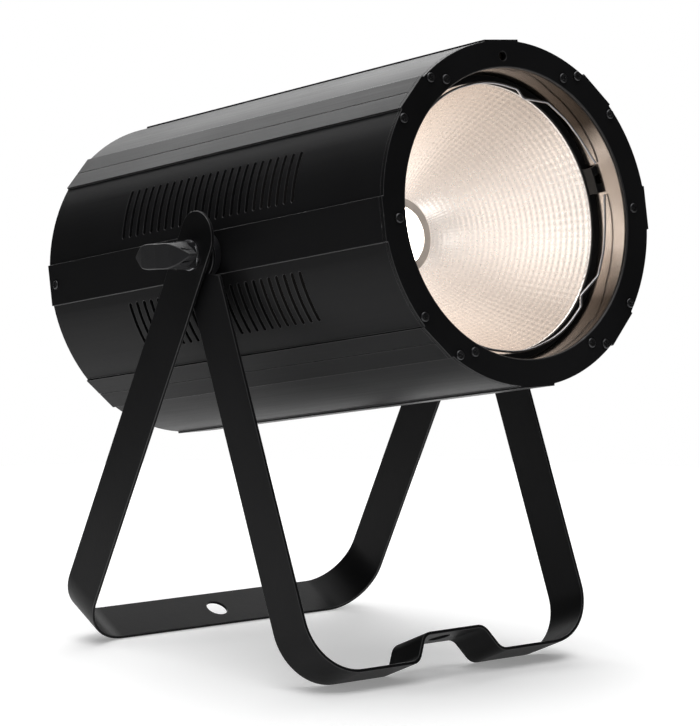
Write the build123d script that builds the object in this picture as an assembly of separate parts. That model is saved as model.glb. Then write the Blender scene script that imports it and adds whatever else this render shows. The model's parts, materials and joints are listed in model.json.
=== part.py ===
from build123d import *
import os
from math import atan2, acos, cos, degrees, hypot, radians, sin, sqrt

# Par can stage light: an extruded round can with a deep reflector, hung in two flat-bar yokes.
# Lengths are in millimetres, angles in degrees.
# Row frame: +X along the tilt axis, the light shines towards -Y, +Z up, floor at z = 0.
# Can frame: origin on the tilt axis, x along the tilt axis, y up across the can, z towards the light.

# ---- Driving dimensions: stance ----
pivot_height = 241.5        # tilt axis above the floor that both yokes stand on
can_tilt = 9.6              # light output above horizontal

# ---- Driving dimensions: can ----
can_radius = 96.9           # round part of the outline
flat_distance = 97.3        # axis to each raised flat
flat_width = 25.0
flat_count = 8
wall = 2.5
front_face = 161.9          # front of the ring, ahead of the tilt axis
rear_end = 166.2            # rear end of the shells, behind the tilt axis
ring_thickness = 2.3
ring_gap = 0.4              # dark joint line between ring and shells
opening_radius = 81.5
seam_gap = 0.35             # open joint between neighbouring shells

# ---- Driving dimensions: yokes ----
bar_width = 30.0
bar_thickness = 2.0
outer_drop = 265.8          # tilt axis to the outer yoke's base, outside face
outer_half_width = 110.0
outer_corner = 31.0         # outside bend radius
outer_splay = 1.9           # each arm's lean outwards, measured at the base
splay_start = 40.0          # below the tilt axis
outer_top = 12.0            # how far the rounded arm end's centre stands past the tilt axis
inner_drop = 255.2
inner_half_width = 105.2
inner_corner = 33.0
ear_radius = 15.5
shoulder_drop = 18.0        # where the inner yoke's bar reaches its full width
shoulder_rise = 3.7
hat_rise = 15.4             # raised middle of the inner yoke's base
hat_top_half = 21.6
hat_foot_half = 30.8
hat_bend = 8.5              # outside bend radius of the raised middle
clamp_hole_radius = 6.75    # clearance hole for an M12 clamp bolt

# ---- Driving dimensions: vents ----
vent_count = 24
vent_pitch = 7.25
vent_middle = -3.1          # middle of the row, ahead of the tilt axis
vent_width = 2.7
vent_length = 30.5
vent_angle = 20.55          # middle of each slot, away from the tilt axis plane

# ---- Driving dimensions: fasteners and pivot ----
stud_radius = 4.0           # M8 pivot stud
running_clearance = 0.08
screw_radius = 1.5          # M3
screw_clearance = 0.15
head_radius = 2.75
head_height = 1.1
cross_depth = 0.6
ring_screw_circle = 86.8
shell_screw_circle = 93.6
shell_screw_offset = 9.6    # either side of each diagonal flat's middle
boss_radius = 3.2
cap_hole_radius = 2.65      # open hole at the top of the ring
cap_hole_circle = 88.0

# ---- Driving dimensions: optics ----
tube_wall = 1.0
tube_length = 30.0
flange_radius = 90.2
reflector_rim = 136.7       # along the can axis
reflector_base = 57.0
rim_radius = 76.5
neck_radius = 22.5
sheet = 1.0
retainer_front = 137.9
tab_front = 145.0
wire_radius = 0.7
wire_plane = 147.2
tab_angle = 13.8
tab_half_angle = 5.6

# ---- Driving dimensions: inside the can ----
led_board_size = 38.0
emitter_radius = 14.0
holder_radius = 30.0
window_opening = 17.6
window_seat = 18.8
led_seat = 43.0             # front of the heat sink, rear of the lamp bulkhead
bulkhead_thickness = 3.0
bulkhead_radius = 89.9
rod_across = 72.7
rod_up = 42.0
rod_radius = 3.0
fan_front = -41.0
fan_depth = 25.0
fan_half = 60.0
fan_bore = 57.0
fan_screw_pitch = 105.0
supply_low = -64.0
supply_height = 34.0
supply_rear = -136.0

# ---- Driving dimensions: rear cover, heights up from the can axis ----
cover_thickness = 2.0
cover_recess = 3.0          # rear cover inside the shells' rear end
cover_screw_recess = 6.8
cover_screw_angles = [0, 90, 180]
display_middle = 37.0
display_width = 62.0
display_height = 25.0
button_row = 11.0
button_spots = [-30.0, -10.0, 10.0, 30.0]
button_radius = 4.5
button_proud = 1.6
board_thickness = 1.6
switch_height = 3.5
switch_gap = 1.0            # free travel before a button reaches its switch
socket_row = -27.0
socket_spots = [-51.0, -17.0, 17.0, 51.0]
socket_bore = 9.6
socket_body = 11.8
socket_screw_across = 9.5
socket_screw_up = 12.0
fuse_row = -60.0
eye_row = 74.0
eye_half = 11.0
eye_wire = 2.5

# ---- Driving dimensions: tilt pivot, outwards along the tilt axis ----
backing_face = 92.0
backing_thickness = 4.0
pad_radius = 13.0           # spacer and friction washer
knob_washer_radius = 8.8
knob_washer_thickness = 1.6
knob_span = 26.5
knob_height = 23.0
knob_turn = 5.1             # the wings stand nearly level when the light is tilted up
insert_radius = 5.6
insert_length = 12.0

# ---- Worked-out places ----
ring_back = front_face - ring_thickness
shell_front = ring_back - ring_gap
shell_length = shell_front + rear_end
inner_radius = can_radius - wall
chassis_front = fan_front - fan_depth
cover_rear = -rear_end + cover_recess
cover_front = cover_rear + cover_thickness
cover_screw_z = -rear_end + cover_screw_recess
board_plane = cover_front + 12.0
inner_arm_start = inner_half_width - bar_thickness
outer_arm_start = outer_half_width - bar_thickness
knob_start = outer_half_width + knob_washer_thickness + 0.05


def polar(radius, angle):
    return (radius * cos(radians(angle)), radius * sin(radians(angle)))


def ring_sketch(outside, inside):
    return Circle(outside) - Circle(inside)


def disc(radius, low, high):
    return Pos(0, 0, low) * extrude(Circle(radius), high - low)


def tube(outside, inside, low, high):
    return Pos(0, 0, low) * extrude(ring_sketch(outside, inside), high - low)


def block(x_size, y_size, z_size, x=0, y=0, z=0):
    return Pos(x, y, z) * Box(x_size, y_size, z_size)


def yoke_lean(drop):
    """Angle from vertical at which a yoke's lower base edge rests on the floor."""
    reach = hypot(drop, bar_width / 2)
    return degrees(acos(pivot_height / reach) + atan2(bar_width / 2, drop))


# ---- Can shells ----
def can_outline():
    outline = Circle(can_radius)
    for step in range(flat_count):
        flat = Pos(flat_distance / 2, 0) * Rectangle(flat_distance, flat_width)
        outline += Rot(0, 0, step * 360 / flat_count) * flat
    return outline


def shell_profile(middle, with_lips):
    """Quarter of the extrusion's section about the angle `middle`."""
    reach = 2 * can_radius
    gap = seam_gap / sqrt(2)
    wedge = Polygon((gap, 0), (reach + gap, reach), (reach + gap, -reach), align=None)
    section = (can_outline() - Circle(inner_radius)) & (Rot(0, 0, middle) * wedge)
    for side in (-1, 1):
        spot = polar(shell_screw_circle, middle + side * (45 - shell_screw_offset))
        boss = Pos(*spot) * Circle(boss_radius) & Circle(can_radius - 0.2)
        section += boss
        section -= Pos(*spot) * Circle(screw_radius)
    if with_lips:
        band = ring_sketch(inner_radius - 0.2, inner_radius - 1.8)
        root = ring_sketch(inner_radius + 0.5, inner_radius - 1.8)
        for side in (-1, 1):
            section += band & sector(middle + side * 45, 4.0)
            section += root & sector(middle + side * 43, 1.6)
    return section


def sector(middle, half):
    reach = 2 * can_radius
    low = polar(reach, middle - half)
    high = polar(reach, middle + half)
    return Polygon((0, 0), low, high, align=None)


def vent_cutters(middle):
    """Two rows of narrow slots, above and below the flat at the angle `middle`."""
    slot = extrude(SlotOverall(vent_length, vent_width), 4 * wall, both=True)
    first = vent_middle - vent_pitch * (vent_count - 1) / 2
    cutters = []
    for side in (-1, 1):
        for step in range(vent_count):
            along = first + step * vent_pitch
            place = Pos(0, 0, along) * Rot(0, 0, middle + side * vent_angle)
            cutters.append(place * Pos(can_radius, 0, 0) * Rot(0, 90, 0) * Rot(0, 0, 90) * slot)
    return cutters


def side_shell(middle):
    shell = Pos(0, 0, -rear_end) * extrude(shell_profile(middle, True), shell_length)
    shell -= vent_cutters(middle)
    turn = Rot(0, 0, middle)
    shell -= turn * Pos(can_radius, 0, 0) * Rot(0, 90, 0) * Cylinder(stud_radius + 0.3, 4 * wall)
    shell -= cover_screw_hole(middle)
    return shell


def end_shell(middle):
    shell = Pos(0, 0, -rear_end) * extrude(shell_profile(middle, False), shell_length)
    if middle in cover_screw_angles:
        shell -= cover_screw_hole(middle)
    return shell


def cover_screw_hole(middle):
    drill = Rot(0, 90, 0) * Cylinder(screw_radius + screw_clearance, 4 * wall)
    return Rot(0, 0, middle) * Pos(can_radius, 0, cover_screw_z) * drill


# ---- Fasteners ----
def pan_screw(length):
    """M3 pan-head cross-recess screw, head seat at z = 0, pointing down."""
    head = extrude(Circle(head_radius), head_height)
    head = fillet(head.edges().group_by(Axis.Z)[-1], 0.75)
    cross = block(3.2, 0.7, 2 * cross_depth, z=head_height)
    cross += block(0.7, 3.2, 2 * cross_depth, z=head_height)
    shank = Pos(0, 0, -length / 2) * Cylinder(screw_radius - 0.1, length)
    return head - cross + shank


def ring_screw_spots():
    spots = []
    for step in range(6):
        spots.append(polar(ring_screw_circle, 60 * step))
    return spots


def shell_screw_spots():
    spots = []
    for step in range(4):
        for side in (-1, 1):
            spots.append(polar(shell_screw_circle, 45 + 90 * step + side * shell_screw_offset))
    return spots


def front_ring_screws():
    screws = []
    turn = 0
    for spot in ring_screw_spots():
        screws.append(Pos(spot[0], spot[1], front_face) * Rot(0, 0, turn) * pan_screw(5.0))
        turn += 37
    for spot in shell_screw_spots():
        screws.append(Pos(spot[0], spot[1], front_face) * Rot(0, 0, turn) * pan_screw(12.0))
        turn += 37
    return Compound(children=screws)


def cover_side_screws():
    screws = []
    for angle in cover_screw_angles:
        place = Rot(0, 0, angle) * Pos(flat_distance, 0, cover_screw_z) * Rot(0, 90, 0)
        screws.append(place * pan_screw(7.0))
    return Compound(children=screws)


# ---- Front end ----
def front_ring():
    plate = Pos(0, 0, ring_back) * extrude(can_outline(), ring_thickness)
    plate -= disc(opening_radius, ring_back - 1, front_face + 1)
    rim = plate.edges().filter_by(GeomType.CIRCLE)
    rim = rim.filter_by(lambda edge: abs(edge.radius - opening_radius) < 0.1)
    plate = chamfer(rim.sort_by(Axis.Z)[-1], 0.5)
    for spot in ring_screw_spots() + shell_screw_spots():
        hole = Cylinder(screw_radius + screw_clearance, 4 * ring_thickness)
        plate -= Pos(spot[0], spot[1], ring_back) * hole
    plate -= Pos(0, cap_hole_circle, ring_back) * Cylinder(cap_hole_radius, 4 * ring_thickness)
    return plate


def front_gasket():
    """Foam seal, set back from the outline so that the joint reads as a dark line."""
    seal = tube(can_radius - 1.2, 91.2, shell_front, ring_back)
    for spot in shell_screw_spots():
        seal -= Pos(spot[0], spot[1], shell_front) * Cylinder(screw_radius + screw_clearance, 4.0)
    return seal


def mirror_tube():
    back = ring_back - tube_length
    sleeve = tube(opening_radius + tube_wall, opening_radius, back, ring_back)
    flange = tube(flange_radius, opening_radius + tube_wall / 2, ring_back - 1.2, ring_back)
    for spot in ring_screw_spots():
        flange -= Pos(spot[0], spot[1], ring_back) * Cylinder(screw_radius, 6.0)
    flange -= Pos(0, cap_hole_circle, ring_back) * Cylinder(cap_hole_radius - 0.4, 6.0)
    return sleeve + flange


# ---- Optics ----
def reflector_radius(height):
    """Parabola through the neck and the rim."""
    slope = (rim_radius**2 - neck_radius**2) / (reflector_rim - reflector_base)
    return sqrt(neck_radius**2 + slope * (height - reflector_base))


def bowl_line(top, offset):
    steps = 8
    points = []
    for step in range(steps + 1):
        height = reflector_base + (top - reflector_base) * (step / steps) ** 1.5
        points.append((reflector_radius(height) + offset, height))
    return points


def reflector():
    """Spun parabolic bowl with a flat lip, open at the neck."""
    inside = bowl_line(reflector_rim, 0)
    outside = bowl_line(reflector_rim - sheet, sheet)
    lip = rim_radius + 4.5
    edges = [Spline(*inside), Spline(*outside), Line(inside[0], outside[0])]
    edges.append(Polyline(inside[-1], (lip, reflector_rim), (lip, reflector_rim - sheet), outside[-1]))
    return Rot(90, 0, 0) * revolve(make_face(Curve() + edges), Axis.Y)


def reflector_retainer():
    """Black clamp ring on the reflector's rim, with three notched tabs for the spring ring."""
    outside = opening_radius - 0.2
    ring = tube(outside, rim_radius, reflector_rim, retainer_front)
    edge = ring.edges().filter_by(GeomType.CIRCLE).group_by(Axis.Z)[-1].sort_by(SortBy.LENGTH)[0]
    ring = chamfer(edge, 0.4)
    leg = ring_sketch(78.4, 77.2)
    foot = ring_sketch(outside, 77.2)
    for step in range(3):
        middle = tab_angle + 120 * step
        reach = sector(middle, tab_half_angle)
        ring += Pos(0, 0, retainer_front) * extrude(leg & reach, tab_front - retainer_front)
        notch = sector(middle, 1.9) - Circle(78.4)
        ring += Pos(0, 0, tab_front - 1.2) * extrude((foot & reach) - notch, 1.2)
    return ring


def spring_ring():
    """Round wire snap ring: it grips the tube beside one tab and dips at two kinks."""
    start = tab_half_angle + 1.1
    half = [
        (start, 80.3, 0),
        (start + 1.6, 79.6, 1.2),
        (20, 77.7, 30),
        (30, 77.5, 40),
        (42, 77.0, 6),
        (55.5, 70.8, 2.5),
        (59.5, 74.6, 3),
        (76, 77.0, 60),
        (100, 77.6, 60),
        (124, 77.6, 60),
        (148, 77.6, 60),
        (170, 77.3, 60),
    ]
    points = [polar(radius, tab_angle + angle) for angle, radius, bend in half]
    points += [polar(radius, tab_angle - angle) for angle, radius, bend in reversed(half)]
    bends = [bend for angle, radius, bend in half[1:]]
    bends += list(reversed(bends))
    path = FilletPolyline(*points, radius=bends)
    section = Plane(origin=path @ 0, z_dir=path % 0) * Circle(wire_radius)
    return Pos(0, 0, wire_plane) * sweep(section, path=path)


def led_board():
    outline = RectangleRounded(led_board_size, led_board_size, 4)
    board = Pos(0, 0, led_seat) * extrude(outline, 1.6)
    emitter = disc(emitter_radius, led_seat + 1.6, led_seat + 2.4)
    return board + emitter


def led_holder():
    low = led_seat + bulkhead_thickness
    holder = tube(holder_radius, window_opening, low, reflector_base)
    return holder - disc(window_seat, low + 5.0, reflector_base - 1.4)


def led_window():
    """Frosted glass dome over the LED."""
    low = led_seat + bulkhead_thickness + 5.1
    plate = disc(window_seat - 0.2, low, low + 1.8)
    dome = Pos(0, 0, low + 1.8) * extrude(Circle(window_opening - 0.3), 3.4)
    dome = fillet(dome.edges().group_by(Axis.Z)[-1], 3.2)
    return plate + dome


# ---- Inside the can ----
def heat_sink():
    base_depth = 6.0
    fin_count = 36
    fin_radius = 76.0
    core_radius = 18.0
    rear = fan_front + 3.0
    section = Circle(core_radius)
    for step in range(fin_count):
        fin = Pos((core_radius + fin_radius) / 2 - 1, 0) * Rectangle(fin_radius - core_radius + 2, 1.6)
        section += Rot(0, 0, step * 360 / fin_count) * fin
    fins = Pos(0, 0, rear) * extrude(section, led_seat - base_depth - rear)
    return fins + disc(fin_radius, led_seat - base_depth, led_seat)


def rod_spots():
    return [(rod_across * x, rod_up * y) for x in (-1, 1) for y in (-1, 1)]


def lamp_bulkhead():
    plate = disc(bulkhead_radius, led_seat, led_seat + bulkhead_thickness)
    plate -= disc(holder_radius - 4.0, led_seat - 1, led_seat + 5)
    for spot in rod_spots():
        plate -= Pos(spot[0], spot[1], led_seat) * Cylinder(screw_radius + screw_clearance, 10)
    return plate


def chassis_rods():
    rods = []
    for spot in rod_spots():
        rod = disc(rod_radius, chassis_front, led_seat)
        rod -= disc(screw_radius, led_seat - 10, led_seat)
        rod -= disc(screw_radius, chassis_front, chassis_front + 10)
        rods.append(Pos(spot[0], spot[1], 0) * rod)
    return Compound(children=rods)


def chassis_rod_screws():
    screws = []
    for spot in rod_spots():
        screws.append(Pos(spot[0], spot[1], led_seat + bulkhead_thickness) * pan_screw(9.0))
        screws.append(Pos(spot[0], spot[1], chassis_front - 2.0) * Rot(180, 0, 0) * pan_screw(9.0))
    return Compound(children=screws)


def chassis_plate():
    """Rear bulkhead with a shelf folded back under the power supply."""
    plate = disc(bulkhead_radius, chassis_front - 2.0, chassis_front)
    plate -= disc(fan_bore, chassis_front - 5, chassis_front + 5)
    for spot in rod_spots():
        plate -= Pos(spot[0], spot[1], chassis_front) * Cylinder(screw_radius + screw_clearance, 10)
    for spot in fan_screw_spots():
        plate -= Pos(spot[0], spot[1], chassis_front) * Cylinder(screw_radius + screw_clearance, 10)
    shelf_length = 74.0
    shelf = block(110, 2.0, shelf_length, y=supply_low - 1.0, z=chassis_front - 1.0 - shelf_length / 2)
    return plate + shelf


def fan_screw_spots():
    half = fan_screw_pitch / 2
    return [(half * x, half * y) for x in (-1, 1) for y in (-1, 1)]


def fan_frame():
    frame = RectangleRounded(2 * fan_half, 2 * fan_half, 6)
    frame = Pos(0, 0, chassis_front) * extrude(frame, fan_depth)
    frame -= disc(fan_bore, chassis_front - 1, fan_front + 1)
    for spot in fan_screw_spots():
        hole = Cylinder(screw_radius + screw_clearance, 4 * fan_depth)
        frame -= Pos(spot[0], spot[1], chassis_front) * hole
    cross = Rectangle(2 * fan_bore + 1, 5) + Rectangle(5, 2 * fan_bore + 1)
    struts = Pos(0, 0, chassis_front) * extrude(cross, 2.0)
    stator = disc(17.0, chassis_front, fan_front - 4.0) - disc(1.6, chassis_front + 4, fan_front)
    return frame + struts + stator


def fan_rotor():
    low = chassis_front + 2.8
    cup = disc(20.0, low, fan_front - 1.0) - disc(17.6, low - 1, fan_front - 3.0)
    spindle = disc(1.5, chassis_front + 4.5, fan_front - 2.0)
    blade_count = 7
    blade_height = fan_front - 2.0 - low
    blade = Pos(37.0, 0, low + blade_height / 2) * Rot(38, 0, 0) * Box(36.0, 1.8, blade_height * 1.5)
    keep = tube(55.3, 19.0, low, fan_front - 2.0)
    rotor = cup + spindle
    for step in range(blade_count):
        rotor += (Rot(0, 0, step * 360 / blade_count) * blade) & keep
    return rotor


def fan_screws():
    screws = []
    for spot in fan_screw_spots():
        screws.append(Pos(spot[0], spot[1], chassis_front - 2.0) * Rot(180, 0, 0) * pan_screw(24.0))
    return Compound(children=screws)


def power_supply():
    length = chassis_front - 6.0 - supply_rear
    middle = (chassis_front - 6.0 + supply_rear) / 2
    case = block(96, supply_height, length, y=supply_low + supply_height / 2, z=middle)
    return fillet(case.edges().filter_by(Axis.Z), 1.5)


def control_board():
    board = block(92, 52, board_thickness, y=26, z=board_plane - board_thickness / 2)
    processor = block(14, 14, 1.8, x=-24, y=38, z=board_plane + 0.9)
    for spot in button_spots:
        middle = board_plane - board_thickness - switch_height / 2
        board += block(6, 6, switch_height, x=spot, y=button_row, z=middle)
    return board + processor


# ---- Rear cover and what it carries ----
def rear_cover():
    """Plate set inside the shells, held by three folded lugs."""
    plate = disc(inner_radius - 0.3, cover_rear, cover_front)
    for spot in shell_screw_spots():
        plate -= Pos(spot[0], spot[1], cover_rear) * Cylinder(boss_radius + 0.4, 10)
    for corner in range(4):
        lip = sector(45 + 90 * corner, 5.0) - Circle(inner_radius - 2.2)
        plate -= Pos(0, 0, cover_rear - 1) * extrude(lip, 5)
    for angle in cover_screw_angles:
        lug = Pos(inner_radius - 3.4, 0, cover_front + 5.0) * Box(2.4, 18, 12)
        lug -= Pos(inner_radius - 3.4, 0, cover_screw_z) * Rot(0, 90, 0) * Cylinder(screw_radius, 12)
        plate += Rot(0, 0, angle) * lug
    plate -= block(display_width - 6, display_height - 6, 10, y=display_middle, z=cover_rear)
    for spot in button_spots:
        plate -= Pos(spot, button_row, cover_rear) * Cylinder(button_radius + 0.3, 10)
    for spot in socket_spots:
        plate -= Pos(spot, socket_row, cover_rear) * Cylinder(socket_body + 0.1, 10)
    plate -= Pos(0, fuse_row, cover_rear) * Cylinder(6.1, 10)
    for side in (-1, 1):
        plate -= Pos(side * eye_half, eye_row, cover_rear) * Cylinder(eye_wire + 0.05, 10)
    plate -= vent_grille()
    return plate


def vent_grille():
    slot = extrude(SlotOverall(24, 3.0), 12, both=True)
    cutters = []
    for side in (-1, 1):
        for row in range(5):
            shift = 32.0 - 2.2 * row
            cutters.append(Pos(side * shift, -53 - 6.2 * row, cover_rear) * slot)
    return cutters


def display_window():
    frame = extrude(RectangleRounded(display_width, display_height, 3), -2.0)
    window = Pos(0, display_middle, cover_rear) * frame
    plug = block(display_width - 6.4, display_height - 6.4, 2.4, y=display_middle, z=cover_rear + 1.0)
    recess = block(display_width - 10, display_height - 10, 1.0, y=display_middle, z=cover_rear - 2.0)
    return window + plug - recess


def push_button(spot):
    collar_rear = cover_front + 0.8
    stem_front = board_plane - board_thickness - switch_height - switch_gap
    cap = disc(button_radius, cover_rear - button_proud, collar_rear)
    cap = fillet(cap.edges().group_by(Axis.Z)[0], 0.8)
    collar = disc(button_radius + 1.0, collar_rear, collar_rear + 1.2)
    stem = disc(2.0, collar_rear, stem_front)
    return Pos(spot, button_row, 0) * (cap + collar + stem)


def socket_flange():
    flange = extrude(RectangleRounded(26, 31, 3), -2.0)
    for side in (-1, 1):
        hole = Cylinder(screw_radius + screw_clearance, 10)
        flange -= Pos(socket_screw_across * side, socket_screw_up * side, 0) * hole
    return flange


def socket(spot, pins, male, power):
    """Round panel connector: flange outside the cover, body through it."""
    depth = 22.0
    body = socket_flange() + extrude(Circle(socket_body), depth)
    body -= Pos(0, 0, -3) * extrude(Circle(socket_bore), depth)
    if power:
        body += extrude(ring_sketch(6.4, 4.8), depth - 3)
        body += Pos(0, socket_bore - 1.0, 8) * Box(4.0, 2.4, 20)
    if not male:
        body += extrude(Circle(8.0), depth - 3)
    for step in range(pins):
        spread = 4.5 if not power else 2.4
        angle = 90 + step * 360 / pins
        place = polar(spread, angle)
        if male or power:
            body += Pos(place[0], place[1], 4) * extrude(Circle(0.9), depth - 6)
        else:
            body -= Pos(place[0], place[1], -3) * extrude(Circle(1.3), 12)
    return Pos(spot, socket_row, cover_rear) * body


def socket_screws():
    screws = []
    for spot in socket_spots:
        for side in (-1, 1):
            x = spot + socket_screw_across * side
            y = socket_row + socket_screw_up * side
            screws.append(Pos(x, y, cover_rear - 2.0) * Rot(180, 0, 0) * pan_screw(1.8))
    return Compound(children=screws)


def fuse_cap():
    body = Pos(0, fuse_row, 0) * disc(6.0, cover_rear, cover_rear + 19)
    cap = Pos(0, fuse_row, 0) * disc(7.5, cover_rear - 2.2, cover_rear)
    cap = chamfer(cap.edges().group_by(Axis.Z)[0], 0.7)
    slot = block(9.0, 1.4, 2.0, y=fuse_row, z=cover_rear - 2.2)
    return body + cap - slot


def safety_eye():
    """Bent round steel loop for the safety cable, riveted through the cover."""
    stand = 15.0
    tail = cover_front + 3.0
    top = cover_rear - stand
    points = [(-eye_half, tail), (-eye_half, top), (eye_half, top), (eye_half, tail)]
    upright = Plane(origin=(0, eye_row, 0), x_dir=(1, 0, 0), z_dir=(0, -1, 0))
    path = upright * FilletPolyline(*points, radius=8.0)
    section = Plane(origin=path @ 0, z_dir=path % 0) * Circle(eye_wire)
    return sweep(section, path=path)


# ---- Tilt pivot, one set per side (side is -1 or 1) ----
def across(side, solid):
    """Stands a solid made along +Z on the tilt axis, pointing out on one side."""
    return Rot(0, 90 * side, 0) * solid


def pivot_backing_plate(side):
    outline = RectangleRounded(46, 30, 3)
    plate = Pos(0, 0, backing_face - backing_thickness) * extrude(outline, backing_thickness)
    plate -= disc(stud_radius + 0.01, 0, 2 * backing_face)
    return across(side, plate)


def pivot_stud(side):
    seat = backing_face - backing_thickness
    stud = disc(stud_radius, seat, knob_start + 15.0)
    stud = chamfer(stud.edges().group_by(Axis.Z)[-1], 0.6)
    head = disc(7.0, seat - 4.0, seat)
    return across(side, stud + head)


def pivot_spacer(side):
    return across(side, tube(pad_radius, stud_radius + 0.02, flat_distance, inner_arm_start))


def friction_washer(side):
    return across(side, tube(pad_radius, stud_radius + 0.02, inner_half_width, outer_arm_start))


def knob_washer(side):
    outer_face = outer_half_width + knob_washer_thickness
    return across(side, tube(knob_washer_radius, stud_radius + 0.1, outer_half_width, outer_face))


def clamp_knob(side):
    """Two-winged plastic knob, moulded round a threaded insert."""
    half_plan = [(-knob_span, 0.9), (-22, 3.4), (-13, 6.9), (0, 7.3)]
    half_plan += [(13, 6.9), (22, 3.4), (knob_span, 0.9)]
    upper = Spline(*half_plan)
    lower = Spline(*[(x, -y) for x, y in half_plan])
    ends = [Line(upper @ 0, lower @ 0), Line(upper @ 1, lower @ 1)]
    wings = extrude(make_face(Curve() + [upper, lower] + ends), knob_height)
    left_edge = [(-8.3, 0), (-7.6, 5.5), (-16, 10.5), (-knob_span, 12.5), (-knob_span, 18.0), (-15, 22.2)]
    right_edge = [(-x, y) for x, y in reversed(left_edge)]
    outline = Polyline(*left_edge, (0, knob_height), *right_edge, close=True)
    side_view = extrude(Plane.XZ * make_face(outline), 20, both=True)
    hub = extrude(Circle(8.4), 9.0, taper=4)
    knob = (wings & side_view) + hub
    knob = fillet(knob.edges().group_by(Axis.Z)[-1], 0.8)
    knob -= disc(insert_radius + 0.01, -1, insert_length)
    knob -= disc(stud_radius + 0.4, -1, 16.0)
    return across(side, Pos(0, 0, knob_start) * Rot(0, 0, side * knob_turn) * knob)


def knob_insert(side):
    insert = tube(insert_radius, stud_radius + running_clearance, 0, insert_length)
    return across(side, Pos(0, 0, knob_start) * insert)


# ---- Yokes, drawn with the tilt axis at the origin, arms down -Y, bar width along Z ----
def u_shape(base, half_width, corner, splay):
    """Filled U with rounded lower corners, straight down to `splay_start` and leaning below."""
    right = [(half_width + splay, base), (half_width, -splay_start), (half_width, 40.0)]
    left = [(-x, y) for x, y in reversed(right)]
    shape = Polygon(*right, *left, align=None)
    return fillet(shape.vertices().group_by(Axis.Y)[0], corner)


def yoke_outline(drop, half_width, corner, splay):
    """U-shaped strip of one bar thickness, open at the top."""
    outside = u_shape(-drop, half_width, corner, splay)
    inside = u_shape(-drop + bar_thickness, half_width - bar_thickness, corner - bar_thickness, splay)
    above = Pos(0, 60.0) * Rectangle(2 * (half_width - bar_thickness), 60.0)
    return outside - inside - above


def arm_trim(end_shape):
    """Solid that keeps only the arm ends' outline, seen along the tilt axis."""
    return Rot(0, 90, 0) * extrude(end_shape, 2 * outer_half_width, both=True)


def pivot_bore():
    return Rot(0, 90, 0) * Cylinder(stud_radius + running_clearance, 6 * outer_half_width)


def clamp_bore(drop):
    return Pos(0, -drop, 0) * Rot(90, 0, 0) * Cylinder(clamp_hole_radius, 20)


def outer_yoke():
    strip = yoke_outline(outer_drop, outer_half_width, outer_corner, outer_splay)
    yoke = Pos(0, 0, -bar_width / 2) * extrude(strip, bar_width)
    end = Pos(0, outer_top) * Circle(bar_width / 2)
    end += Pos(0, outer_top - 200) * Rectangle(bar_width, 400)
    yoke &= arm_trim(end)
    yoke -= pivot_bore()
    yoke -= clamp_bore(outer_drop)
    return yoke


def hat_strip():
    """Raised middle of the base: a strip of one bar thickness with rounded bends."""
    run = 60.0
    base = -inner_drop
    inner_bend = hat_bend - bar_thickness
    slant = hypot(hat_foot_half - hat_top_half, hat_rise)
    shift = bar_thickness * (slant - (hat_foot_half - hat_top_half)) / hat_rise
    low = [(-run, base), (-hat_foot_half, base), (-hat_top_half, base + hat_rise)]
    low += [(hat_top_half, base + hat_rise), (hat_foot_half, base), (run, base)]
    foot = base + bar_thickness
    crown = foot + hat_rise
    high = [(-run, foot), (-hat_foot_half - shift, foot), (-hat_top_half - shift, crown)]
    high += [(hat_top_half + shift, crown), (hat_foot_half + shift, foot), (run, foot)]
    lower = FilletPolyline(*low, radius=[hat_bend, inner_bend, inner_bend, hat_bend])
    upper = FilletPolyline(*high, radius=[inner_bend, hat_bend, hat_bend, inner_bend])
    ends = [Line(lower @ 0, upper @ 0), Line(lower @ 1, upper @ 1)]
    return make_face(Curve() + [lower, upper] + ends), run


def inner_yoke():
    strip = yoke_outline(inner_drop, inner_half_width, inner_corner, 0)
    hat, run = hat_strip()
    strip -= Pos(0, -inner_drop) * Rectangle(2 * run, 30)
    strip += hat
    yoke = Pos(0, 0, -bar_width / 2) * extrude(strip, bar_width)
    half = bar_width / 2
    far = -2 * inner_drop
    shoulders = [(-half, far), (half, far), (half, -shoulder_drop), (0, -shoulder_drop + 2 * shoulder_rise)]
    shoulders.append((-half, -shoulder_drop))
    end = Circle(ear_radius) + Polygon(*shoulders, align=None)
    yoke &= arm_trim(end)
    yoke -= pivot_bore()
    yoke -= clamp_bore(inner_drop - hat_rise)
    return yoke


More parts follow.
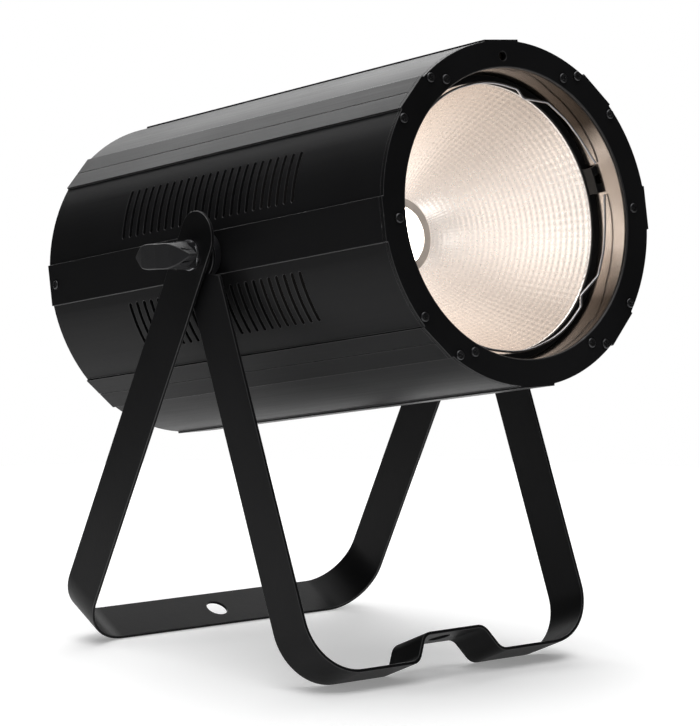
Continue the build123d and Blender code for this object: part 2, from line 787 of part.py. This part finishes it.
# ---- Assembly ----
def build_can_parts():
    parts = {}
    parts["side_shell_right"] = side_shell(0)
    parts["side_shell_left"] = side_shell(180)
    parts["top_shell"] = end_shell(90)
    parts["bottom_shell"] = end_shell(270)
    parts["front_ring"] = front_ring()
    parts["front_gasket"] = front_gasket()
    parts["front_ring_screws"] = front_ring_screws()
    parts["mirror_tube"] = mirror_tube()
    parts["reflector"] = reflector()
    parts["reflector_retainer"] = reflector_retainer()
    parts["spring_ring"] = spring_ring()
    parts["led_board"] = led_board()
    parts["led_holder"] = led_holder()
    parts["led_window"] = led_window()
    parts["heat_sink"] = heat_sink()
    parts["lamp_bulkhead"] = lamp_bulkhead()
    parts["chassis_rods"] = chassis_rods()
    parts["chassis_rod_screws"] = chassis_rod_screws()
    parts["chassis_plate"] = chassis_plate()
    parts["fan_frame"] = fan_frame()
    parts["fan_rotor"] = fan_rotor()
    parts["fan_screws"] = fan_screws()
    parts["power_supply"] = power_supply()
    parts["control_board"] = control_board()
    parts["rear_cover"] = rear_cover()
    parts["cover_side_screws"] = cover_side_screws()
    parts["display_window"] = display_window()
    for name, spot in zip(["menu_button", "down_button", "up_button", "enter_button"], button_spots):
        parts[name] = push_button(spot)
    parts["power_inlet"] = socket(socket_spots[0], 3, True, True)
    parts["power_outlet"] = socket(socket_spots[1], 3, True, True)
    parts["data_inlet"] = socket(socket_spots[2], 5, True, False)
    parts["data_outlet"] = socket(socket_spots[3], 5, False, False)
    parts["socket_screws"] = socket_screws()
    parts["fuse_cap"] = fuse_cap()
    parts["safety_eye"] = safety_eye()
    for label, side in (("left", -1), ("right", 1)):
        parts["pivot_backing_plate_" + label] = pivot_backing_plate(side)
        parts["pivot_stud_" + label] = pivot_stud(side)
        parts["pivot_spacer_" + label] = pivot_spacer(side)
        parts["friction_washer_" + label] = friction_washer(side)
        parts["knob_washer_" + label] = knob_washer(side)
        parts["clamp_knob_" + label] = clamp_knob(side)
        parts["knob_insert_" + label] = knob_insert(side)
    return parts


def can_place():
    tilt = radians(can_tilt)
    return Plane(origin=(0, 0, pivot_height), x_dir=(1, 0, 0), z_dir=(0, -cos(tilt), sin(tilt)))


def yoke_place(lean):
    """Frame of a yoke whose base swings `lean` degrees towards the rear."""
    turn = radians(lean)
    return Plane(origin=(0, 0, pivot_height), x_dir=(1, 0, 0), z_dir=(0, -cos(turn), -sin(turn)))


def main():
    os.makedirs("parts", exist_ok=True)
    placed = {}
    for name, solid in build_can_parts().items():
        placed[name] = can_place().location * solid
    placed["outer_bracket"] = yoke_place(yoke_lean(outer_drop)).location * outer_yoke()
    placed["inner_bracket"] = yoke_place(-yoke_lean(inner_drop)).location * inner_yoke()
    boxes = [solid.bounding_box() for solid in placed.values()]
    middle = (min(box.min.Y for box in boxes) + max(box.max.Y for box in boxes)) / 2
    for name, solid in placed.items():
        export_step(Pos(0, -middle, 0) * solid, "parts/" + name + ".step")
    print("parts", len(placed))
    print("tilt axis at y", round(-middle, 4), "z", pivot_height)
    print("lowest point", round(min(box.min.Z for box in boxes), 4))
    print("leans", round(yoke_lean(outer_drop), 4), round(yoke_lean(inner_drop), 4))


main()
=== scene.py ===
import json
import math

import bmesh
import bpy
from mathutils import Matrix, Vector

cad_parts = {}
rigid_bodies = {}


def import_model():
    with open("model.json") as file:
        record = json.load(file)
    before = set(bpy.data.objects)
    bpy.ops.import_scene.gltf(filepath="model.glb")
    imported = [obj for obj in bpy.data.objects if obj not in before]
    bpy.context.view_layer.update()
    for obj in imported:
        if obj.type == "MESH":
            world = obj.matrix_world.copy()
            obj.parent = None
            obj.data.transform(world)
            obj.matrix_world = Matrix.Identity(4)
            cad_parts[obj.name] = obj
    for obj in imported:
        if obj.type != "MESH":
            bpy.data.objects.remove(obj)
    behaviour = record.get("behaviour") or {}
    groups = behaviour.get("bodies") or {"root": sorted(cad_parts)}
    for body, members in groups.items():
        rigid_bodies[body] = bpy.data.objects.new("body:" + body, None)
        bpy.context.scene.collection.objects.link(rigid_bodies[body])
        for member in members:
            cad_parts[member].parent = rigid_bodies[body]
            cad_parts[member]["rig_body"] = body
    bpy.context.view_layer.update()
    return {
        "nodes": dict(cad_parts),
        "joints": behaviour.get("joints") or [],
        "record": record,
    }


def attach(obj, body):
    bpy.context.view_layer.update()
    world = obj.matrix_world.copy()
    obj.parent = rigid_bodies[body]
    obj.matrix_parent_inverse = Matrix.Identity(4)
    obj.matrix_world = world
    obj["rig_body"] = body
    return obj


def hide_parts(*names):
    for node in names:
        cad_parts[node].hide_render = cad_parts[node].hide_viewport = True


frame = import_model()

MM = 0.001
joints = {joint["name"]: joint for joint in frame["joints"]}
pivot = Vector(joints["outer_bracket_tilt"]["pos_m"])
beam = Vector(joints["fan_spin"]["axis"])
across = Vector((1, 0, 0))
upward = beam.cross(across)

# The can's own frame: x along the tilt axis, y up across the can, z towards the light.
can = Matrix((across, upward, beam)).transposed().to_4x4()
can.translation = pivot
to_can = can.inverted()


def on_can(radius, angle, along):
    """Point at a radius and angle (radians) about the can's axis, in the row frame."""
    return can @ Vector((radius * math.cos(angle), radius * math.sin(angle), along))


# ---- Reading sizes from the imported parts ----
def extent(node):
    """Inner radius, outer radius, rear and front of a node, about the can's axis."""
    points = [to_can @ vertex.co for vertex in frame["nodes"][node].data.vertices]
    radii = [math.hypot(point.x, point.y) for point in points]
    along = [point.z for point in points]
    return min(radii), max(radii), min(along), max(along)


def lip_radius(node, front):
    """Smallest radius on a node's front edge."""
    points = [to_can @ vertex.co for vertex in frame["nodes"][node].data.vertices]
    return min(math.hypot(point.x, point.y) for point in points if point.z > front - 0.05 * MM)


# ---- Shader helpers ----
class Shader:
    """A node tree with one Principled surface."""

    def __init__(self, name):
        self.material = bpy.data.materials.new(name)
        self.material.use_nodes = True
        self.tree = self.material.node_tree
        self.surface = self.tree.nodes["Principled BSDF"]
        self.place = self.tree.nodes.new("ShaderNodeTexCoord").outputs["Object"]

    def add(self, kind, **settings):
        node = self.tree.nodes.new("ShaderNode" + kind)
        for key, value in settings.items():
            setattr(node, key, value)
        return node

    def join(self, source, target):
        self.tree.links.new(source, target)

    def values(self, **sockets):
        for key, value in sockets.items():
            self.surface.inputs[key.replace("_", " ")].default_value = value

    def along_can(self):
        """Coordinates in the can's own frame."""
        turn = self.add("Mapping", vector_type="TEXTURE")
        turn.inputs["Location"].default_value = pivot
        turn.inputs["Rotation"].default_value = can.to_euler()
        self.join(self.place, turn.inputs["Vector"])
        return turn.outputs["Vector"]

    def height_off_axis(self, source):
        """Distance above or below the can's axis, from coordinates in the can's frame."""
        split = self.add("SeparateXYZ")
        self.join(source, split.inputs["Vector"])
        return self.math("ABSOLUTE", split.outputs["Y"], 0.0)

    def stretched(self, source, scale):
        stretch = self.add("Mapping")
        stretch.inputs["Scale"].default_value = scale
        self.join(source, stretch.inputs["Vector"])
        return stretch.outputs["Vector"]

    def noise(self, scale, detail=3.0, source=None, rough=0.5):
        noise = self.add("TexNoise")
        noise.inputs["Scale"].default_value = scale
        noise.inputs["Detail"].default_value = detail
        noise.inputs["Roughness"].default_value = rough
        self.join(source or self.place, noise.inputs["Vector"])
        return noise.outputs["Fac"]

    def ramp(self, value, low, high, start=0.0, end=1.0):
        """Maps start..end of a value onto two numbers."""
        spread = self.add("MapRange")
        spread.inputs["From Min"].default_value = start
        spread.inputs["From Max"].default_value = end
        spread.inputs["To Min"].default_value = low
        spread.inputs["To Max"].default_value = high
        self.join(value, spread.inputs["Value"])
        return spread.outputs["Result"]

    def mix(self, value, first, second):
        blend = self.add("Mix", data_type="RGBA")
        for socket, colour in ((blend.inputs[6], first), (blend.inputs[7], second)):
            if isinstance(colour, bpy.types.NodeSocket):
                self.join(colour, socket)
            else:
                socket.default_value = (*colour, 1.0)
        self.join(value, blend.inputs[0])
        return blend.outputs[2]

    def math(self, operation, first, second):
        result = self.add("Math", operation=operation)
        for socket, value in zip(result.inputs, (first, second)):
            if isinstance(value, bpy.types.NodeSocket):
                self.join(value, socket)
            else:
                socket.default_value = value
        return result.outputs[0]

    def bump(self, *layers):
        """Each layer is (height value, distance in metres)."""
        below = None
        for height, distance in layers:
            bump = self.add("Bump")
            bump.inputs["Distance"].default_value = distance
            self.join(height, bump.inputs["Height"])
            if below:
                self.join(below, bump.inputs["Normal"])
            below = bump.outputs["Normal"]
        self.join(below, self.surface.inputs["Normal"])

    def colour(self, socket):
        self.join(socket, self.surface.inputs["Base Color"])

    def roughness(self, socket):
        self.join(socket, self.surface.inputs["Roughness"])


# ---- Materials ----
COAT_SPECULAR = 0.08        # satin coat, far below a glossy paint


def powder_coat(name, tone, rough, grain=1500.0, depth=0.00003):
    """Satin black powder coat: fine orange peel, slight patches in tone and gloss, faint rubs."""
    s = Shader(name)
    patches = s.noise(9.0, 4.0)
    specks = s.noise(grain, 2.0)
    tint = [part * 1.5 for part in tone]
    s.colour(s.mix(s.ramp(patches, 0.0, 1.0, 0.35, 0.65), tone, tint))
    rubs = s.noise(30.0, 6.0, s.stretched(s.place, (1.0, 5.0, 1.0)), 0.7)
    broad = s.ramp(patches, rough - 0.04, rough + 0.04, 0.3, 0.7)
    gloss = s.math("ADD", broad, s.ramp(rubs, 0.0, -0.07, 0.55, 0.8))
    s.roughness(s.math("ADD", gloss, s.ramp(specks, -0.03, 0.03, 0.3, 0.7)))
    s.bump((specks, depth), (s.noise(260.0, 2.0), depth * 1.5))
    s.values(Specular_IOR_Level=COAT_SPECULAR)
    return s.material


def coated_extrusion(name, tone, rough):
    """Black coat over an extrusion: faint draw lines run along the can."""
    s = Shader(name)
    inside = s.along_can()
    lines = s.noise(900.0, 4.0, s.stretched(inside, (1.0, 1.0, 0.012)), 0.6)
    patches = s.noise(7.0, 4.0)
    specks = s.noise(1900.0, 2.0)
    tint = [part * 1.45 for part in tone]
    s.colour(s.mix(s.ramp(patches, 0.0, 1.0, 0.35, 0.65), tone, tint))
    broad = s.ramp(patches, rough - 0.03, rough + 0.04, 0.3, 0.7)
    gloss = s.math("ADD", broad, s.ramp(lines, -0.03, 0.03, 0.3, 0.7))
    s.roughness(s.math("ADD", gloss, s.ramp(specks, -0.02, 0.02, 0.3, 0.7)))
    s.bump((lines, 0.000012), (specks, 0.000018))
    s.values(Specular_IOR_Level=COAT_SPECULAR)
    return s.material


def worn_edge_and_painted_highlight(name, tone, rough):
    """Coat over a broken edge: a painted highlight, lighter than the faces, and rubbed through to grey
    metal in places as wear.
    """
    s = Shader(name)
    wear = s.ramp(s.noise(120.0, 6.0, None, 0.7), 0.0, 1.0, 0.62, 0.74)
    # painted highlight: the edge tone is lighter than the coat on the faces; the wear mask turns it to
    # grey metal in places
    s.colour(s.mix(wear, tone, (0.16, 0.16, 0.165)))
    s.roughness(s.ramp(wear, rough, rough + 0.12))
    s.join(s.ramp(wear, 0.0, 0.6), s.surface.inputs["Metallic"])
    s.bump((s.noise(1500.0, 2.0), 0.00002))
    return s.material


def plated_metal(name, tone, rough, lines=(1.0, 1.0, 30.0), metallic=1.0):
    """Plated or turned metal with fine tool marks and dull patches."""
    s = Shader(name)
    marks = s.noise(500.0, 4.0, s.stretched(s.place, lines), 0.6)
    patches = s.noise(60.0, 4.0)
    s.colour(s.mix(s.ramp(patches, 0.0, 1.0, 0.3, 0.7), tone, [part * 0.72 for part in tone]))
    fine = s.ramp(marks, rough - 0.06, rough + 0.06, 0.3, 0.7)
    s.roughness(s.math("ADD", fine, s.ramp(patches, 0.0, 0.08)))
    s.bump((marks, 0.00001))
    s.values(Metallic=metallic)
    return s.material


def polished_sheet(name):
    """Polished aluminium sleeve: rolling marks round the can, and painted shade in dark brown above and
    below the axis, leaving a bright band across the middle as a painted reflection.
    """
    s = Shader(name)
    inside = s.along_can()
    marks = s.noise(2600.0, 4.0, s.stretched(inside, (0.02, 0.02, 1.0)), 0.6)
    haze = s.noise(45.0, 4.0)
    clean = s.mix(s.ramp(haze, 0.0, 1.0, 0.3, 0.7), (0.74, 0.67, 0.61), (0.64, 0.57, 0.51))
    # painted shade: dark brown above and below the can's axis, so only a band across the middle shows the
    # bright metal, a painted reflection
    painted_shade_band = s.ramp(s.height_off_axis(inside), 0.0, 1.0, 0.020, 0.050)
    s.colour(s.mix(painted_shade_band, clean, (0.070, 0.058, 0.048)))
    s.roughness(s.math("ADD", s.ramp(marks, 0.13, 0.19, 0.3, 0.7), s.ramp(haze, 0.0, 0.05)))
    s.bump((marks, 0.000004))
    s.values(Metallic=1.0)
    return s.material


def reflector_painted_glow(name):
    """Bright peened aluminium with a painted glow standing in for the lamp's light behind it: brightest
    across the middle, with painted shade darker and warmer above and below.
    """
    s = Shader(name)
    cells = s.noise(420.0, 3.0)
    haze = s.noise(28.0, 3.0)
    # painted light band: 1 across the middle of the bowl, falling to 0.22 above and below; it sets the
    # painted shade in the colour and the strength of the painted glow
    painted_light_band = s.ramp(s.height_off_axis(s.along_can()), 1.0, 0.22, 0.015, 0.075)
    clean = s.mix(s.ramp(haze, 0.0, 1.0, 0.35, 0.65), (0.95, 0.92, 0.88), (0.90, 0.86, 0.82))
    s.colour(s.mix(painted_light_band, (0.52, 0.46, 0.41), clean))
    s.roughness(s.ramp(cells, 0.20, 0.30, 0.3, 0.7))
    s.bump((cells, 0.00002))
    # painted glow: the bowl emits light though it is no lamp, peach above and below, whiter across the
    # middle, mottled by the facets
    lit = s.mix(painted_light_band, (0.72, 0.54, 0.43), (1.0, 0.90, 0.83))
    painted_glow_mottled = s.mix(s.ramp(cells, 0.0, 0.25, 0.35, 0.65), lit, (0.92, 0.76, 0.66))
    s.join(painted_glow_mottled, s.surface.inputs["Emission Color"])
    s.join(s.math("MULTIPLY", painted_light_band, 0.52), s.surface.inputs["Emission Strength"])
    s.values(Metallic=0.85)
    return s.material


def moulded(name, tone, rough, grain=900.0, depth=0.00004, specular=0.45):
    """Moulded plastic or rubber: fine spark texture, faint handling shine."""
    s = Shader(name)
    texture = s.noise(grain, 3.0)
    shine = s.noise(40.0, 4.0)
    s.colour(s.mix(s.ramp(shine, 0.0, 1.0, 0.35, 0.65), tone, [part * 1.35 for part in tone]))
    broad = s.ramp(shine, rough + 0.05, rough - 0.06, 0.35, 0.65)
    s.roughness(s.math("ADD", broad, s.ramp(texture, -0.04, 0.04, 0.3, 0.7)))
    s.bump((texture, depth))
    s.values(Specular_IOR_Level=specular)
    return s.material


def foam(name):
    s = Shader(name)
    cells = s.noise(2500.0, 3.0)
    s.colour(s.mix(cells, (0.004, 0.004, 0.004), (0.012, 0.012, 0.012)))
    s.roughness(s.ramp(cells, 0.85, 1.0))
    s.bump((cells, 0.00012))
    return s.material


def frosted_lamp(name):
    """Frosted glass, lit: nearly even white with a slightly warmer rim."""
    s = Shader(name)
    grain = s.noise(700.0, 3.0)
    s.colour(s.mix(grain, (1.0, 0.97, 0.92), (0.96, 0.92, 0.86)))
    s.roughness(s.ramp(grain, 0.3, 0.45))
    s.bump((grain, 0.00002))
    s.join(s.mix(grain, (1.0, 0.93, 0.85), (1.0, 0.90, 0.80)), s.surface.inputs["Emission Color"])
    s.values(Emission_Strength=9.0)
    return s.material


def emitter_board(name):
    s = Shader(name)
    grain = s.noise(900.0, 2.0)
    s.colour(s.mix(grain, (0.95, 0.86, 0.45), (0.85, 0.74, 0.32)))
    s.roughness(s.ramp(grain, 0.4, 0.6))
    s.join(s.mix(grain, (1.0, 0.85, 0.6), (1.0, 0.8, 0.5)), s.surface.inputs["Emission Color"])
    s.values(Emission_Strength=3.0)
    return s.material


def circuit_board(name):
    """Green board with faint copper runs under the mask."""
    s = Shader(name)
    runs = s.add("TexBrick")
    runs.inputs["Scale"].default_value = 260.0
    runs.inputs["Mortar Size"].default_value = 0.06
    runs.inputs["Color1"].default_value = (0.012, 0.09, 0.03, 1)
    runs.inputs["Color2"].default_value = (0.015, 0.11, 0.04, 1)
    runs.inputs["Mortar"].default_value = (0.03, 0.17, 0.06, 1)
    s.join(s.along_can(), runs.inputs["Vector"])
    s.colour(runs.outputs["Color"])
    s.roughness(s.ramp(s.noise(300.0), 0.3, 0.45))
    s.bump((runs.outputs["Fac"], 0.00004))
    return s.material


def display_glass(name):
    """Clear glossy window over a dark display, with faint wipe marks."""
    s = Shader(name)
    wipes = s.noise(70.0, 6.0, s.stretched(s.place, (1.0, 1.0, 4.0)), 0.7)
    s.colour(s.mix(s.ramp(wipes, 0.0, 1.0, 0.4, 0.7), (0.006, 0.010, 0.016), (0.012, 0.018, 0.026)))
    s.roughness(s.ramp(wipes, 0.04, 0.16, 0.4, 0.75))
    s.bump((wipes, 0.000004))
    s.values(Coat_Weight=0.6, Coat_Roughness=0.04)
    return s.material


BLACK = (0.0062, 0.0062, 0.0066)
materials = {
    "black_shell": coated_extrusion("shell_coat", BLACK, 0.40),
    "black_steel": powder_coat("steel_coat", BLACK, 0.42),
    "polished_tube": polished_sheet("polished_sleeve"),
    "reflector_metal": reflector_painted_glow("peened_reflector"),
    "foam": foam("foam_seal"),
    "black_screw": plated_metal("black_screw_finish", (0.085, 0.085, 0.088), 0.32, (1.0, 1.0, 1.0)),
    "zinc_steel": plated_metal("zinc_plate", (0.50, 0.50, 0.52), 0.30),
    "brass": plated_metal("turned_brass", (0.62, 0.45, 0.18), 0.28),
    "knob_plastic": moulded("knob_moulding", (0.016, 0.016, 0.017), 0.44, 900.0, 0.00004, 0.25),
    "black_plastic": moulded("black_moulding", (0.009, 0.009, 0.010), 0.44, 900.0, 0.00004, 0.2),
    "button_rubber": moulded("button_moulding", (0.055, 0.055, 0.060), 0.55, 1400.0, 0.00003),
    "display_glass": display_glass("display_cover"),
    "bare_aluminium": plated_metal("bare_alloy", (0.80, 0.77, 0.74), 0.45, (1.0, 1.0, 30.0), 0.2),
    "led_glass": frosted_lamp("frosted_window"),
    "led_emitter": emitter_board("emitter"),
    "circuit_board": circuit_board("board_mask"),
    "supply_case": plated_metal("supply_sheet", (0.50, 0.50, 0.50), 0.42),
}
# painted highlight: edges about three times lighter than the black coat on the faces
edge_coat_painted_highlight = worn_edge_and_painted_highlight("coat_edge_painted_highlight", (0.020, 0.020, 0.021), 0.36)
# Second material of a piece: its broken edges, which carry a painted highlight, or the outer face of the
# reflector.
edge_materials = {
    "black_shell": edge_coat_painted_highlight,
    "black_steel": edge_coat_painted_highlight,
    "reflector_metal": materials["bare_aluminium"],
}
slots = {part["node"]: part["material_slot"] for part in frame["record"]["subparts"]}


def paint(piece, slot):
    piece.data.materials.clear()
    piece.data.materials.append(materials[slot])
    piece.data.materials.append(edge_materials.get(slot, materials[slot]))


def body_of(node):
    return frame["nodes"][node]["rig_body"]


# ---- Geometry helpers ----
def new_piece(name, bm, node, slot=None, smooth=True):
    """Turns a bmesh into a piece that rides with a node's body and stands for it."""
    mesh = bpy.data.meshes.new(name)
    bm.to_mesh(mesh)
    bm.free()
    piece = bpy.data.objects.new(name, mesh)
    bpy.context.scene.collection.objects.link(piece)
    for face in mesh.polygons:
        face.use_smooth = smooth
    paint(piece, slot or slots[node])
    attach(piece, body_of(node))
    return piece


def machined(node, width, segments=3, limit=28.0):
    """The part's own shape with its edges really broken, so that they catch the light."""
    bm = bmesh.new()
    bm.from_mesh(frame["nodes"][node].data)
    bmesh.ops.remove_doubles(bm, verts=bm.verts, dist=2e-6)
    bmesh.ops.dissolve_limit(bm, angle_limit=math.radians(0.4), verts=bm.verts, edges=bm.edges)
    for face in bm.faces:
        face.material_index = 0
    piece = new_piece(node + "_finished", bm, node)
    bevel = piece.modifiers.new("broken_edges", "BEVEL")
    bevel.width = width * MM
    bevel.segments = segments
    bevel.limit_method = "ANGLE"
    bevel.angle_limit = math.radians(limit)
    bevel.use_clamp_overlap = False
    bevel.miter_outer = "MITER_ARC"
    bevel.material = 1
    bevel.harden_normals = True
    normals = piece.modifiers.new("flat_faces", "WEIGHTED_NORMAL")
    normals.keep_sharp = True
    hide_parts(node)
    return piece


def revolve(name, node, profile, segments=256, slot=None):
    """Closed profile of (radius, along), in metres, turned about the can's axis."""
    bm = bmesh.new()
    rings = []
    for step in range(segments):
        angle = 2 * math.pi * step / segments
        rings.append([bm.verts.new(on_can(r, angle, s)) for r, s in profile])
    count = len(profile)
    for step in range(segments):
        here = rings[step]
        there = rings[(step + 1) % segments]
        for k in range(count):
            bm.faces.new((here[k], there[k], there[(k + 1) % count], here[(k + 1) % count]))
    bmesh.ops.recalc_face_normals(bm, faces=bm.faces)
    return new_piece(name, bm, node, slot)


# ---- Camera ----
VIEW_AZIMUTH = -38.767      # degrees
VIEW_ELEVATION = 5.519
VIEW_SHIFT = (5.79, -68.45, 1972.26)        # mm from the tilt axis: right, up and back
LENS = 164.8
SENSOR_HEIGHT = 36.0


def camera():
    azimuth = math.radians(VIEW_AZIMUTH)
    elevation = math.radians(VIEW_ELEVATION)
    level = math.cos(elevation)
    back = Vector((math.sin(azimuth) * level, -math.cos(azimuth) * level, math.sin(elevation)))
    right = Vector((math.cos(azimuth), math.sin(azimuth), 0))
    up = back.cross(right)
    data = bpy.data.cameras.new("camera")
    data.sensor_fit = "VERTICAL"
    data.sensor_height = SENSOR_HEIGHT
    data.lens = LENS
    data.clip_start = 0.05
    data.clip_end = 50
    eye = bpy.data.objects.new("camera", data)
    eye.matrix_world = Matrix((right, up, back)).transposed().to_4x4()
    sideways, upwards, away = VIEW_SHIFT
    eye.location = pivot + right * sideways * MM + up * upwards * MM + back * away * MM
    bpy.context.scene.collection.objects.link(eye)
    bpy.context.scene.camera = eye


# ---- Studio ----
def softbox(name, place, aim, size, power, tint=(1, 1, 1)):
    data = bpy.data.lights.new(name, "AREA")
    data.shape = "RECTANGLE"
    data.size, data.size_y = size
    data.energy = power
    data.color = tint
    light = bpy.data.objects.new(name, data)
    light.location = place
    light.rotation_euler = (Vector(place) - Vector(aim)).to_track_quat("Z", "Y").to_euler()
    bpy.context.scene.collection.objects.link(light)


def studio():
    world = bpy.data.worlds.new("studio")
    bpy.context.scene.world = world
    world.use_nodes = True
    tree = world.node_tree
    backdrop = tree.nodes["Background"]
    backdrop.inputs["Color"].default_value = (1, 1, 1, 1)
    path = tree.nodes.new("ShaderNodeLightPath")
    level = tree.nodes.new("ShaderNodeMapRange")
    level.inputs["To Min"].default_value = 0.05
    level.inputs["To Max"].default_value = 1.0
    tree.links.new(path.outputs["Is Camera Ray"], level.inputs["Value"])
    tree.links.new(level.outputs["Result"], backdrop.inputs["Strength"])

    bm = bmesh.new()
    bmesh.ops.create_circle(bm, cap_ends=True, segments=128, radius=0.9)
    mesh = bpy.data.meshes.new("floor")
    bm.to_mesh(mesh)
    bm.free()
    floor = bpy.data.objects.new("floor", mesh)
    bpy.context.scene.collection.objects.link(floor)
    s = Shader("floor_paper")
    s.colour(s.mix(s.noise(6.0), (0.93, 0.93, 0.93), (0.90, 0.90, 0.90)))
    s.roughness(s.ramp(s.noise(40.0), 0.85, 0.95))
    s.values(Specular_IOR_Level=0.1, Emission_Color=(1, 1, 1, 1), Emission_Strength=0.25)
    mesh.materials.append(s.material)

    softbox("overhead", (-0.1, -0.1, 2.2), (0, 0, 0), (2.4, 2.4), 56.0)
    softbox("rear_strip", (0.9, 1.6, 1.3), (0, 0, 0.25), (2.2, 0.9), 26.0)
    softbox("front_left", (-1.8, -1.2, 1.2), (0, 0, 0.2), (1.2, 1.2), 4.0)
    view = bpy.context.scene.view_settings
    view.view_transform = "Standard"
    view.look = "None"


# ---- Optics ----
FACET_COLUMNS = 108
FACET_ROWS = 30
FACET_CELLS = 4             # mesh cells along each facet's side
FACET_CROWN = 0.34 * MM     # how far a facet's middle stands proud of the bowl
SHEET = 1.0 * MM
BACK_STEPS = 12             # rings of mesh on the reflector's outer face


def peened_reflector():
    """Bowl of small rounded facets in rings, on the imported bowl's own curve."""
    inner, outer, rear, front = extent("reflector")
    rim = lip_radius("reflector", front)
    slope = (rim**2 - inner**2) / (front - rear)
    bm = bmesh.new()
    around = FACET_COLUMNS * FACET_CELLS
    rows = []
    inside_rows = FACET_ROWS * FACET_CELLS
    for row in range(inside_rows + 1):
        part = row / inside_rows
        s = rear + (front - rear) * part**1.25
        base = math.sqrt(inner**2 + slope * (s - rear))
        line = []
        for step in range(around):
            angle = 2 * math.pi * step / around
            u = (step % FACET_CELLS) / FACET_CELLS
            v = (row % FACET_CELLS) / FACET_CELLS
            dome = math.sin(math.pi * u) * math.sin(math.pi * v)
            r = base - FACET_CROWN * dome * (0.35 + 0.65 * part)
            line.append(bm.verts.new(on_can(r, angle, s)))
        rows.append(line)
    lips = [(outer, front), (outer, front - SHEET)]
    for step in range(BACK_STEPS, -1, -1):
        s = rear + (front - SHEET - rear) * (step / BACK_STEPS) ** 1.5
        lips.append((math.sqrt(inner**2 + slope * (s - rear)) + SHEET, s))
    for r, s in lips:
        rows.append([bm.verts.new(on_can(r, 2 * math.pi * step / around, s)) for step in range(around)])
    for row in range(len(rows)):
        here = rows[row]
        there = rows[(row + 1) % len(rows)]
        for step in range(around):
            ahead = (step + 1) % around
            face = bm.faces.new((here[step], here[ahead], there[ahead], there[step]))
            face.material_index = int(row >= inside_rows)
    bmesh.ops.recalc_face_normals(bm, faces=bm.faces)
    piece = new_piece("reflector_bowl", bm, "reflector")
    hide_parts("reflector")


def sleeve():
    """Polished tube behind the ring, with a rolled front lip and a flange."""
    inner, outer, rear, front = extent("mirror_tube")
    wall = 1.0 * MM
    profile = [(inner + wall, rear), (inner + 0.3 * MM, rear), (inner, rear + 0.3 * MM)]
    profile += [(inner, front - 0.6 * MM), (inner + 0.2 * MM, front - 0.2 * MM), (inner + 0.6 * MM, front)]
    profile += [(outer, front), (outer, front - 1.2 * MM), (inner + wall, front - 1.2 * MM)]
    piece = revolve("mirror_tube_sleeve", "mirror_tube", profile, 360)
    mesh = piece.data
    mesh.set_sharp_from_angle(angle=math.radians(35))
    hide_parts("mirror_tube")


# ---- Every other part ----
def plain_parts():
    for node, piece in frame["nodes"].items():
        paint(piece, slots[node])


# Per node: width of the broken edge in mm, and its number of segments.
FINISHED = {
    "outer_bracket": (0.35, 3), "inner_bracket": (0.35, 3), "front_ring": (0.3, 3),
    "side_shell_left": (0.22, 2), "side_shell_right": (0.22, 2),
    "top_shell": (0.22, 2), "bottom_shell": (0.22, 2),
    "clamp_knob_left": (0.9, 4), "clamp_knob_right": (0.9, 4),
    "reflector_retainer": (0.1, 2), "rear_cover": (0.2, 2),
    "display_window": (0.35, 3), "fuse_cap": (0.25, 2),
    "power_inlet": (0.25, 2), "power_outlet": (0.25, 2), "data_inlet": (0.25, 2), "data_outlet": (0.25, 2),
    "menu_button": (0.2, 2), "down_button": (0.2, 2), "up_button": (0.2, 2), "enter_button": (0.2, 2),
    "front_ring_screws": (0.08, 2), "cover_side_screws": (0.08, 2), "socket_screws": (0.08, 2),
    "knob_washer_left": (0.25, 3), "knob_washer_right": (0.25, 3),
    "friction_washer_left": (0.2, 2), "friction_washer_right": (0.2, 2),
    "pivot_spacer_left": (0.3, 2), "pivot_spacer_right": (0.3, 2),
}


def finished_parts():
    for node, (width, segments) in FINISHED.items():
        machined(node, width, segments)


camera()
studio()
plain_parts()
finished_parts()
peened_reflector()
sleeve()
